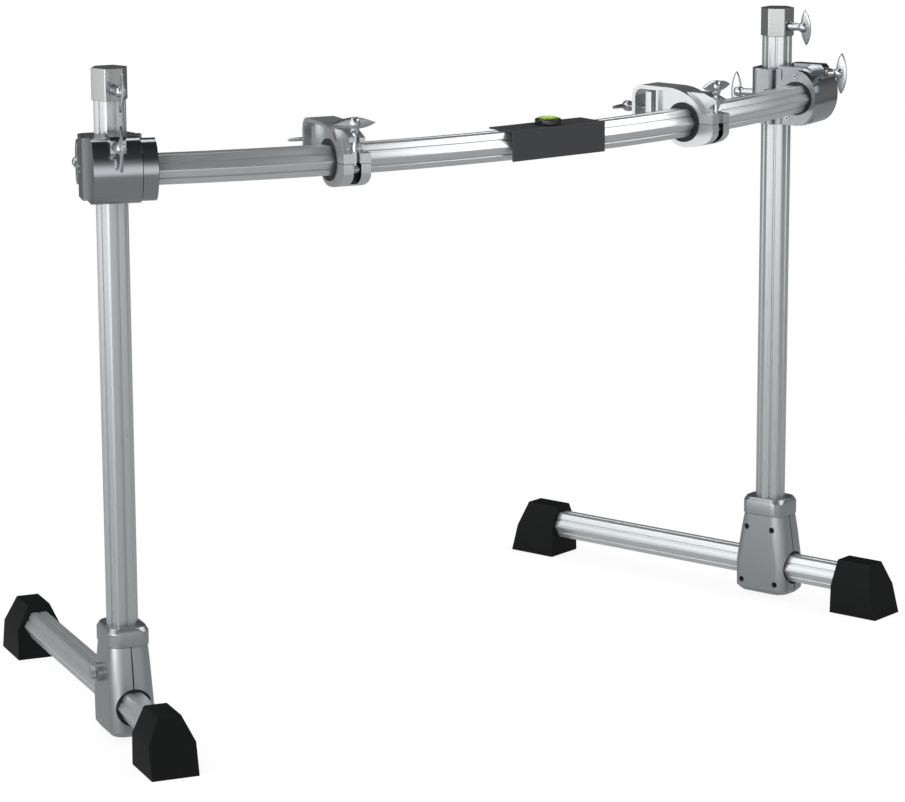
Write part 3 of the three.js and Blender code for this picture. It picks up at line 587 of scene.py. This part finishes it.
def bent_tube(name):
    tube = tube_section(name)
    along = Vector((math.cos(END_ANGLE), -math.sin(END_ANGLE), 0))
    outward = Vector((-math.sin(END_ANGLE), -math.cos(END_ANGLE), 0))
    turn = Matrix((-outward, UP, along)).transposed().to_4x4()
    start = Vector(BEND_CENTRE) + outward * BEND_RADIUS - along * STRAIGHT_END
    place(tube, Matrix.Translation(start) @ turn)
    open_for_edit(tube)
    bpy.ops.mesh.select_all(action="SELECT")
    bpy.ops.mesh.extrude_region_move(TRANSFORM_OT_translate={"value": along * STRAIGHT_END})
    bpy.ops.mesh.spin(steps=BEND_STEPS, angle=-2 * END_ANGLE, center=BEND_CENTRE, axis=(0, 0, 1))
    leaving = Vector((math.cos(END_ANGLE), math.sin(END_ANGLE), 0))
    bpy.ops.mesh.extrude_region_move(TRANSFORM_OT_translate={"value": leaving * STRAIGHT_END})
    bpy.ops.mesh.select_all(action="SELECT")
    bpy.ops.mesh.remove_doubles(threshold=MEETING_POINTS)
    bpy.ops.mesh.select_non_manifold()
    bpy.ops.mesh.edge_face_add()
    bpy.ops.mesh.select_all(action="SELECT")
    bpy.ops.mesh.normals_make_consistent(inside=False)
    close_edit()
    smooth(tube, TUBE_SMOOTH)
    return tube


crossbar = bent_tube("crossbar_tube")
hand_over(crossbar, "crossbar")

# %% [markdown]
# Some castings need a recess cut into them. A cutter is a flat plate that is given its outline
# and drawn out to a thickness, and a boolean takes it out of the casting. Recesses could also be
# built face by face, but the castings are curved and a boolean follows the curve by itself.

# %% Cutters
def plate(name, outline, thickness):
    bpy.ops.object.select_all(action="DESELECT")
    bpy.ops.mesh.primitive_circle_add(vertices=len(outline), radius=1, fill_type="NGON")
    piece = bpy.context.object
    piece.name = name
    open_for_edit(piece)
    for index, (x, y) in enumerate(outline):
        choose(piece, "VERT", lambda corner: corner.index == index)
        corners = bmesh.from_edit_mesh(piece.data).verts
        corners.ensure_lookup_table()
        at = corners[index].co
        bpy.ops.transform.translate(value=(x * MM - at.x, y * MM - at.y, 0))
    bpy.ops.mesh.select_all(action="SELECT")
    bpy.ops.mesh.extrude_region_move(TRANSFORM_OT_translate={"value": (0, 0, thickness)})
    bpy.ops.mesh.select_all(action="SELECT")
    bpy.ops.mesh.normals_make_consistent(inside=False)
    close_edit()
    return piece


def cut(piece, cutter):
    carve = piece.modifiers.new("carve", "BOOLEAN")
    carve.operation = "DIFFERENCE"
    carve.object = cutter
    pick(piece)
    bpy.ops.object.modifier_apply(modifier="carve")
    bpy.data.objects.remove(cutter)


print("cutters ready")

# %% [markdown]
# Castings have no sharp edges: the mould rounds them and tumbling polishes them. A copy of the
# frame's solid gets its loose triangles merged, its flat faces joined, and every sharp edge
# bevelled, so that each edge catches a thin line of light. Weighted normals keep the large faces
# flat in the reflections, which plain smooth shading doesn't.

# %% Rounded castings
LOOSE_POINTS = 0.03 * MM
FLAT_WITHIN = math.radians(1.2)
SHARP_FROM = math.radians(32)
CAST_SMOOTH = 34
# part and width of its rounded edges in millimetres
EDGE_OF = [
    ("joint_body", 1.4), ("bar_jaw", 1.2), ("bar_collar", 1.0), ("upright_jaw", 1.2),
    ("top_cap", 0.9), ("base_outer_shell", 1.2), ("base_inner_shell", 1.2), ("base_collar", 0.8),
    ("base_lock_bolt", 0.5), ("clamp_arm", 1.0), ("clamp_jaw", 1.0), ("clamp_shoe", 0.8),
    ("swing_bolt", 0.4), ("front_foot", 3.0), ("rear_foot", 3.0),
]


def rounded_copy(node, width, segments=2, cutters=()):
    source = frame["nodes"][node]
    piece = bpy.data.objects.new(node + "_cast", source.data.copy())
    bpy.context.scene.collection.objects.link(piece)
    piece.data.materials.clear()
    open_for_edit(piece)
    bpy.ops.mesh.select_all(action="SELECT")
    bpy.ops.mesh.remove_doubles(threshold=LOOSE_POINTS)
    bpy.ops.mesh.dissolve_limited(angle_limit=FLAT_WITHIN)
    close_edit()
    for cutter in cutters:
        cut(piece, cutter)
    bevel = piece.modifiers.new("edges", "BEVEL")
    bevel.width = width
    bevel.segments = segments
    bevel.limit_method = "ANGLE"
    bevel.angle_limit = SHARP_FROM
    bevel.use_clamp_overlap = True
    bevel.miter_outer = "MITER_ARC"
    pick(piece)
    bpy.ops.object.modifier_apply(modifier="edges")
    smooth(piece, CAST_SMOOTH)
    even = piece.modifiers.new("even", "WEIGHTED_NORMAL")
    even.keep_sharp = True
    bpy.ops.object.modifier_apply(modifier="even")
    return piece


print("castings to round", 2 * len(EDGE_OF))

# %% [markdown]
# The hooked arm of an accessory clamp is a casting with a thick rim and a thinner web, which saves
# metal. Both sides of the arm get a recess with the outline of the web. The clamp sits square on
# the crossbar, so its own frame comes from the hinge of its lower jaw.

# %% Web of the clamp arm
# outline of the web, to the rear and up, in millimetres
WEB = [
    (39.5, 8), (39.5, 37), (25, 37), (17, 36.4), (8, 34.6), (0, 31.8), (-7, 28.4),
    (-5, 25.6), (0, 26), (8, 24.8), (15, 21.3), (20.5, 16), (24, 10), (24.8, 8),
]
# where the two cutters start across the arm, and how far each reaches
WEB_STARTS = (-20 * MM, 12 * MM)
WEB_CUT = 8 * MM
SIDEWAYS = Matrix(((0, 0, 1, 0), (1, 0, 0, 0), (0, 1, 0, 0), (0, 0, 0, 1)))
HINGE_Y = 29.5 * MM


def clamp_frame(side):
    row = JOINTS[side + "_lower_jaw_open"]
    x = Vector(row["axis"]).normalized()
    y = UP.cross(x)
    turn = Matrix((x, y, UP)).transposed().to_4x4()
    return Matrix.Translation(Vector(row["pos_m"]) - y * HINGE_Y) @ turn


def web_cutters(side):
    cutters = []
    for start in WEB_STARTS:
        cutter = plate("web_cutter", WEB, WEB_CUT)
        place(cutter, clamp_frame(side) @ Matrix.Translation((start, 0, 0)) @ SIDEWAYS)
        cutters.append(cutter)
    return cutters


print("web points", len(WEB))

# %% [markdown]
# The base of a leg is two cast shells around the foot bar. A round tunnel mouth at the front and
# the rear holds a black bush, and the joint between the shells shows as a fine dark groove.

# %% Tunnel and seam of the base
TUNNEL_RADIUS = 22.3 * MM
TUNNEL_MIDDLE = 43 * MM
TUNNEL_CUT = 20 * MM
SEAM_MIDDLE = 40 * MM
SEAM_CUT = 22 * MM
# outline of the seam, across and up, in millimetres
SEAM = [(-0.8, -1), (0.8, -1), (0.8, 115), (-0.8, 115)]
UPRIGHT_SEAM = Matrix(((1, 0, 0, 0), (0, 0, -1, 0), (0, 1, 0, 0), (0, 0, 0, 1)))
LIE = Matrix.Rotation(math.radians(90), 4, "X")


def tunnel_cutters(side):
    cutters = []
    for end in (-1, 1):
        bpy.ops.object.select_all(action="DESELECT")
        bpy.ops.mesh.primitive_cylinder_add(vertices=40, radius=TUNNEL_RADIUS, depth=TUNNEL_CUT)
        cutter = bpy.context.object
        mouth = leg_frame[side] @ Matrix.Translation((0, end * TUNNEL_MIDDLE, FOOT_BAR_Z))
        place(cutter, mouth @ LIE)
        cutters.append(cutter)
        seam = plate("seam_cutter", SEAM, SEAM_CUT)
        start = Matrix.Translation((0, end * SEAM_MIDDLE + SEAM_CUT / 2, 0))
        place(seam, leg_frame[side] @ start @ UPRIGHT_SEAM)
        cutters.append(seam)
    return cutters


print("tunnel radius", TUNNEL_RADIUS)

# %% [markdown]
# Black nylon keeps metal off metal: a bush in each tunnel mouth, and a thin rim on each side of a
# clamp, at the ends of its liner. Each is a short disc with a hexagonal hole a little larger than
# the tube.

# %% Bushes and rims
# radius and thickness
BUSH = (22 * MM, 3.4 * MM)
RIM = (24.6 * MM, 1.2 * MM)
BUSH_AT = 35 * MM
RIM_AT = 17.9 * MM
HOLE_CORNER = TUBE_CORNER + 0.5 * MM
HOLE_CUT = 20 * MM


def tube_bush(name, size, matrix, body):
    radius, thickness = size
    bpy.ops.object.select_all(action="DESELECT")
    bpy.ops.mesh.primitive_cylinder_add(vertices=6, radius=HOLE_CORNER, depth=HOLE_CUT)
    hexagon = bpy.context.object
    bpy.ops.object.select_all(action="DESELECT")
    bpy.ops.mesh.primitive_cylinder_add(vertices=48, radius=radius, depth=thickness)
    ring = bpy.context.object
    ring.name = name
    pick(hexagon)
    bpy.ops.transform.rotate(value=math.radians(30), orient_axis="Z", center_override=(0, 0, 0))
    bpy.ops.object.transform_apply(location=True, rotation=True, scale=True)
    cut(ring, hexagon)
    place(ring, matrix)
    smooth(ring)
    ring.data.materials.append(black_nylon_and_shade)
    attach(ring, body)


for side in ("left", "right"):
    for end in (-1, 1):
        name = side + ("_front" if end < 0 else "_rear")
        spot = leg_frame[side] @ Matrix.Translation((0, end * BUSH_AT, FOOT_BAR_Z))
        tube_bush(name + "_bush", BUSH, spot @ LIE, "legs")
        name = side + ("_clamp_left" if end < 0 else "_clamp_right")
        spot = clamp_frame(side) @ Matrix.Translation((end * RIM_AT, 0, 0))
        tube_bush(name + "_rim", RIM, spot @ SIDEWAYS, BODY_OF[side + "_clamp_liner"])
print("radius and thickness of a bush", BUSH, "and of a rim", RIM)

# %% [markdown]
# Now every casting is made and handed over. The collar of a T-joint is bright on its outer skin
# and darker on its ends. The slot in a lower jaw gets painted shade: its faces take a dark finish
# in place of the shadow deep inside it. Both are told by the place or the direction of each face.

# %% Castings in place
END_FACING = 0.5
# box of the slot in the clamp's frame, whose faces get a dark finish as painted shade
SLOT_HALF = 4.9 * MM
SLOT_FROM_Y = -31 * MM
SLOT_FROM_Z = -16 * MM


def brighten_skin(collar, side):
    collar.data.materials.append(cast_joint)
    sense = 1 if side == "right" else -1
    axis = Vector((math.cos(END_ANGLE), math.sin(END_ANGLE) * sense, 0))
    for face in collar.data.polygons:
        face.material_index = 0 if abs(face.normal.dot(axis)) > END_FACING else 1


# painted shade: the faces inside the slot take the dark finish in place of the shadow there
def paint_slot_shade(jaw, side):
    jaw.data.materials.append(dark_steel_and_shade)
    back = clamp_frame(side).inverted()
    for face in jaw.data.polygons:
        spot = back @ face.center
        in_shaded_slot = abs(spot.x) < SLOT_HALF and spot.y < SLOT_FROM_Y and spot.z > SLOT_FROM_Z
        face.material_index = 1 if in_shaded_slot else 0


for side in ("left", "right"):
    for part, width in EDGE_OF:
        node = side + "_" + part
        cutters = ()
        if part == "clamp_arm":
            cutters = web_cutters(side)
        elif "shell" in part:
            cutters = tunnel_cutters(side)
        piece = rounded_copy(node, width * MM, 3 if "foot" in part else 2, cutters=cutters)
        hand_over(piece, node)
        if part == "bar_collar":
            brighten_skin(piece, side)
        if part == "clamp_jaw":
            paint_slot_shade(piece, side)
        print(node, len(piece.data.polygons), [round(v / MM, 1) for v in piece.dimensions])
hand_over(rounded_copy("badge_bracket", 0.5 * MM), "badge_bracket")
hand_over(rounded_copy("level_ring", 1.0 * MM, 3), "level_ring")

# %% [markdown]
# Ten wing screws and nuts tighten the rack. Each is a turned core with two leaf-shaped blades.
# The core could be a stack of cylinders, but one disc that is drawn out and resized step by step
# keeps it in one skin. The blades start as a flat disc that is squeezed to a pointed leaf and then
# drawn out in thin layers, the outer ones smaller, so that the leaf gets a soft edge.

# %% Turned cores and leaf blades
# a profile holds the height and the radius of each ring, from one end to the other
def turned(name, profile, vertices=24):
    bpy.ops.object.select_all(action="DESELECT")
    first_z, first_r = profile[0]
    bpy.ops.mesh.primitive_circle_add(
        vertices=vertices, radius=first_r, fill_type="NGON", location=(0, 0, first_z),
    )
    piece = bpy.context.object
    piece.name = name
    bpy.ops.object.transform_apply(location=True, rotation=True, scale=True)
    open_for_edit(piece, "FACE")
    bpy.ops.mesh.select_all(action="SELECT")
    last_z, last_r = first_z, first_r
    for z, r in profile[1:]:
        bpy.ops.mesh.extrude_region_move(TRANSFORM_OT_translate={"value": (0, 0, z - last_z)})
        share = r / last_r
        bpy.ops.transform.resize(value=(share, share, 1), center_override=(0, 0, z))
        last_z, last_r = z, r
    bpy.ops.mesh.select_all(action="SELECT")
    bpy.ops.mesh.normals_make_consistent(inside=False)
    close_edit()
    return piece


# depth, length and width of each layer, as shares of the leaf's
LEAF_LAYERS = [
    (-0.5, 0.86, 0.56), (-0.42, 0.94, 0.8), (-0.2, 1, 1),
    (0.2, 1, 1), (0.42, 0.94, 0.8), (0.5, 0.86, 0.56),
]
LEAF_THICK = 3.8 * MM
LEAF_CORNERS = 32
LEAF_FULLNESS = 0.6
WING_SMOOTH = 40


def blades(name, span, axial):
    bpy.ops.object.select_all(action="DESELECT")
    bpy.ops.mesh.primitive_circle_add(vertices=LEAF_CORNERS, radius=1, fill_type="NGON")
    leaf = bpy.context.object
    leaf.name = name
    leaf.scale = (span / 2, axial / 2, 1)
    bpy.ops.object.transform_apply(location=True, rotation=True, scale=True)
    open_for_edit(leaf)
    for k in range(1, LEAF_CORNERS // 4):
        angle = 2 * math.pi * k / LEAF_CORNERS
        x = span / 2 * math.cos(angle)
        share = math.sin(angle) ** LEAF_FULLNESS
        choose(leaf, "VERT", lambda corner: abs(abs(corner.co.x) - x) < TOLERANCE)
        bpy.ops.transform.resize(value=(1, share, 1), center_override=(0, 0, 0))
    bpy.ops.mesh.select_mode(type="FACE")
    bpy.ops.mesh.select_all(action="SELECT")
    last = (0, 1, 1)
    for layer, (depth, long, wide) in enumerate(LEAF_LAYERS):
        step = (0, 0, (depth - last[0]) * LEAF_THICK)
        if layer:
            bpy.ops.mesh.extrude_region_move(TRANSFORM_OT_translate={"value": step})
        else:
            bpy.ops.transform.translate(value=step)
        shares = (long / last[1], wide / last[2], 1)
        bpy.ops.transform.resize(value=shares, center_override=(0, 0, depth * LEAF_THICK))
        last = (depth, long, wide)
    bpy.ops.mesh.select_all(action="SELECT")
    bpy.ops.mesh.normals_make_consistent(inside=False)
    close_edit()
    place(leaf, LIE)
    return leaf


def add_blades(core, span, axial, wing_from):
    leaf = blades(core.name + "_blades", span, axial)
    place(leaf, Matrix.Translation((0, 0, wing_from + axial / 2)))
    pick(core)
    leaf.select_set(True)
    bpy.ops.object.join()
    smooth(core, WING_SMOOTH)


print("leaf layers", len(LEAF_LAYERS))

# %% [markdown]
# A wing screw has a thread, a smooth neck, a hub and the leaf across it. One master is made for
# each kind at the origin, and its copies go to the joints of the frame, turned as in the photo.

# %% Wing screws
PITCH = 1.25 * MM
THREAD_RADIUS, THREAD_ROOT = 3.5 * MM, 3.0 * MM
TIP_RADIUS, TIP_LENGTH = 2.9 * MM, 0.8 * MM
WING_AXIAL = 15 * MM


def wing_screw(name, tip, neck_from, wing_from, span):
    z = tip + TIP_LENGTH
    profile = [(tip, TIP_RADIUS), (z, THREAD_RADIUS)]
    while z + PITCH < neck_from:
        profile += [(z + 0.6 * MM, THREAD_ROOT), (z + PITCH, THREAD_RADIUS)]
        z += PITCH
    length = wing_from - neck_from
    # flange and waist of the neck, then the hub that carries the wings
    profile += [
        (neck_from, THREAD_RADIUS), (neck_from + 0.02 * MM, 5.6 * MM),
        (neck_from + 0.6 * MM, 6.1 * MM), (neck_from + length * 0.3, 5.4 * MM),
        (neck_from + length * 0.7, 4.7 * MM), (wing_from - 1.4 * MM, 4.8 * MM),
        (wing_from - 0.3 * MM, 6.0 * MM), (wing_from + 1.6 * MM, 6.8 * MM),
        (wing_from + WING_AXIAL * 0.45, 6.6 * MM), (wing_from + WING_AXIAL * 0.62, 5.4 * MM),
        (wing_from + WING_AXIAL * 0.68, 3.6 * MM),
    ]
    core = turned(name, profile)
    add_blades(core, span, WING_AXIAL, wing_from)
    return core


def stand_up(axis, blade):
    z = Vector(axis).normalized()
    x = (Vector(blade) - z * z.dot(Vector(blade))).normalized()
    return Matrix((x, z.cross(x), z)).transposed().to_4x4()


def copy_of(piece, name):
    twin = bpy.data.objects.new(name, piece.data.copy())
    bpy.context.scene.collection.objects.link(twin)
    return twin


# piece, joint, where the joint sits on the screw, which way it points, then the places of the
# tip, the neck and the wings along the screw and the span of the wings, in millimetres
SCREWS = [
    ("cap_wing_bolt", "cap_screw_turn", 17.5, 1, (17.6, 19.8, 37.0, 46.0)),
    ("bar_wing_bolt", "front_screw_turn", 0.0, 1, (-19.2, 26.6, 36.0, 53.0)),
    ("upright_wing_bolt", "rear_screw_turn", 10.0, 1, (-13.2, 30.6, 64.0, 53.0)),
    ("shoe_wing_bolt", "shoe_screw_turn", 60.0, -1, (63.4, 94.8, 97.0, 53.0)),
]
CAP_TURN = math.radians(5)
for part, joint, at, sense, measures in SCREWS:
    tip, neck, wing_from, span = (value * MM for value in measures)
    master = wing_screw("master_" + part, tip, neck, wing_from, span)
    for side in ("left", "right"):
        row = JOINTS[side + "_" + joint]
        axis = Vector(row["axis"]) * sense
        blade = axis.cross(UP) if part == "shoe_wing_bolt" else UP
        if part == "cap_wing_bolt":
            lean = math.sin(CAP_TURN) * (1 if side == "right" else -1)
            blade = UP * math.cos(CAP_TURN) + axis.cross(UP) * lean
        twin = copy_of(master, side + "_" + part + "_full")
        back = Matrix.Translation((0, 0, -at * MM))
        place(twin, Matrix.Translation(row["pos_m"]) @ stand_up(axis, blade) @ back)
        hand_over(twin, side + "_" + part)
    bpy.data.objects.remove(master)
    print(part, len(twin.data.polygons), "faces")

# %% [markdown]
# The wing nuts on the swing bolts are the same shape with a round foot that sits in the dished
# seat, so they reuse the turned core and the leaf blades.

# %% Wing nuts
NUT_BALL = 5.6 * MM
NUT_AXIAL = 14 * MM
NUT_SPAN = 53 * MM


def wing_nut(name):
    profile = [(-NUT_BALL * 0.94, 3.4 * MM)]
    for k in range(1, 6):
        angle = math.radians(-70 + 16 * k)
        profile.append((NUT_BALL * math.sin(angle), NUT_BALL * math.cos(angle)))
    profile += [
        (1.0 * MM, 5.7 * MM), (2.2 * MM, 6.6 * MM), (7.5 * MM, 6.8 * MM), (10.8 * MM, 6.0 * MM),
        (13.0 * MM, 4.6 * MM), (13.8 * MM, 2.4 * MM),
    ]
    core = turned(name, profile)
    add_blades(core, NUT_SPAN, NUT_AXIAL, 0)
    return core


master = wing_nut("master_nut")
for side in ("left", "right"):
    along = Vector(JOINTS[side + "_lower_jaw_open"]["axis"])
    twin = copy_of(master, side + "_wing_nut_full")
    place(twin, Matrix.Translation(JOINTS[side + "_nut_turn"]["pos_m"]) @ stand_up(UP, along))
    hand_over(twin, side + "_wing_nut")
bpy.data.objects.remove(master)
print("nuts", len(twin.data.polygons), "faces")

# %% [markdown]
# Small screws hold the castings together: four in each inner base shell, deep in their holes, and
# two on the inner face of each T-joint's ring. A screw head is turned, and its socket is an inset
# of the top face that is pushed in and given a darker finish, painted shade for the socket's
# inside.

# %% Small screws
FACING_UP = 0.9
SOCKET_RIM = 0.36
SOCKET_DEPTH = 0.55
# places in millimetres from the axis of the upright: inwards, then to the rear and up
BASE_SCREWS_INWARD = 20.6
RING_SCREWS_INWARD = 43.0
BASE_SCREWS = ((-26.5, 22), (26.5, 22), (-20, 96), (20, 96))
RING_SCREWS = ((-46.5, 28.5), (-36, -26.5))


def socket_head(name, radius, height):
    head = turned(name, [(0, radius), (height * 0.8, radius), (height, radius * 0.86)], 18)
    near_top = height * 0.9
    open_for_edit(head, "FACE")
    choose(
        head, "FACE",
        lambda face: face.normal.z > FACING_UP and face.calc_center_median().z > near_top,
    )
    bpy.ops.mesh.inset(thickness=radius * SOCKET_RIM, depth=0)
    down = (0, 0, -height * SOCKET_DEPTH)
    bpy.ops.mesh.extrude_region_move(TRANSFORM_OT_translate={"value": down})
    close_edit()
    # painted shade: the floor of the socket takes the second, darker finish
    for face in head.data.polygons:
        if face.normal.z > FACING_UP and face.center.z < near_top:
            face.material_index = 1
    smooth(head)
    return head


# socket is the darker finish painted into the socket as shade
def set_screw(master, name, matrix, skin, socket):
    screw = copy_of(master, name)
    place(screw, matrix)
    screw.data.materials.append(skin)
    screw.data.materials.append(socket)
    return screw


head_frame = frames_at_uprights(END_ANGLE, BAR_HEIGHT)
base_screw = socket_head("master_base_screw", 3.7 * MM, 2.6 * MM)
ring_screw = socket_head("master_ring_screw", 3.4 * MM, 1.6 * MM)
for side, sense in (("left", 1), ("right", -1)):
    inward = stand_up((sense, 0, 0), (0, 1, 0))
    for index, (y, z) in enumerate(BASE_SCREWS):
        spot = Matrix.Translation((sense * BASE_SCREWS_INWARD * MM, y * MM, z * MM))
        matrix = leg_frame[side] @ spot @ inward
        name = f"{side}_base_screw_{index}"
        screw = set_screw(base_screw, name, matrix, dark_steel_and_shade, black_nylon_and_shade)
        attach(screw, "legs")
    for index, (y, z) in enumerate(RING_SCREWS):
        spot = Matrix.Translation((sense * RING_SCREWS_INWARD * MM, y * MM, z * MM))
        matrix = head_frame[side] @ spot @ inward
        name = f"{side}_ring_screw_{index}"
        screw = set_screw(ring_screw, name, matrix, plated_steel, dark_steel_and_shade)
        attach(screw, "bar_assembly")
for master in (base_screw, ring_screw):
    bpy.data.objects.remove(master)
print("small screws", 2 * (len(BASE_SCREWS) + len(RING_SCREWS)))
